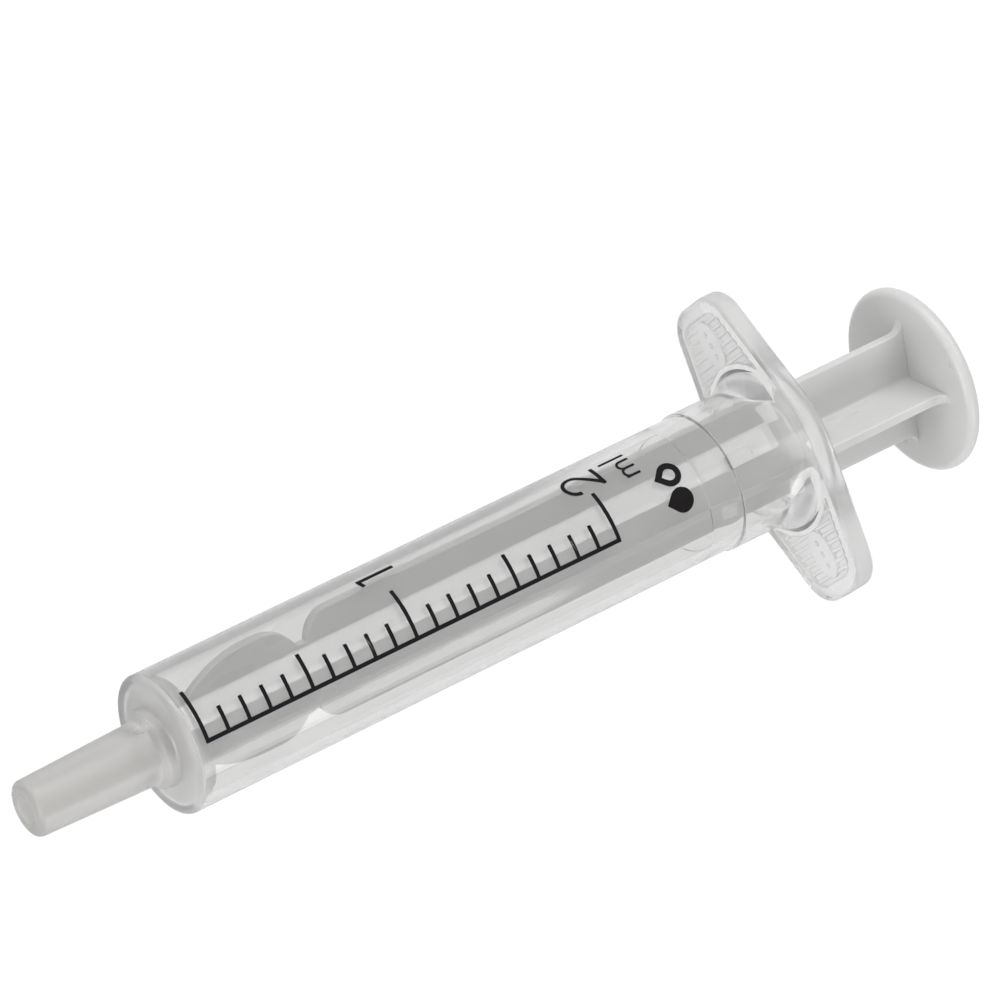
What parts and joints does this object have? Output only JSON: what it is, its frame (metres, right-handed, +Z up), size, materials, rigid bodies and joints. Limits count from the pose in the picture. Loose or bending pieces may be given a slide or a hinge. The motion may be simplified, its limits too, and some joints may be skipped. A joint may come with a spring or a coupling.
{
  "type": "oral syringe",
  "caption": "Clear two-part disposable syringe with a slip-taper nozzle, oval finger flange, printed volume scale and a white cross-ribbed plunger that slides in the barrel.",
  "frame": {"origin": "centre of the nozzle's mouth", "axes": "+X along the axis from the nozzle to the thumb rest, +Y along the finger flange, +Z up through the side that carries the print"},
  "size_m": [0.0751, 0.023, 0.0138],
  "materials": {
    "clear_plastic": "clear, smooth moulded polypropylene",
    "white_plastic": "milky white moulded polyethylene, semi-gloss",
    "black_ink": "black printing ink"
  },
  "bodies": {
    "barrel": {"barrel": "clear_plastic", "scale_marks": "black_ink", "numeral_1": "black_ink", "numeral_2": "black_ink", "unit_ml": "black_ink", "drop_mark": "black_ink"},
    "plunger": {"plunger": "white_plastic"}
  },
  "joints": [
    {"name": "plunger_slide", "type": "slide", "parent": "barrel", "child": "plunger", "axis": [1, 0, 0], "range_m": [0, 0.0408]}
  ]
}
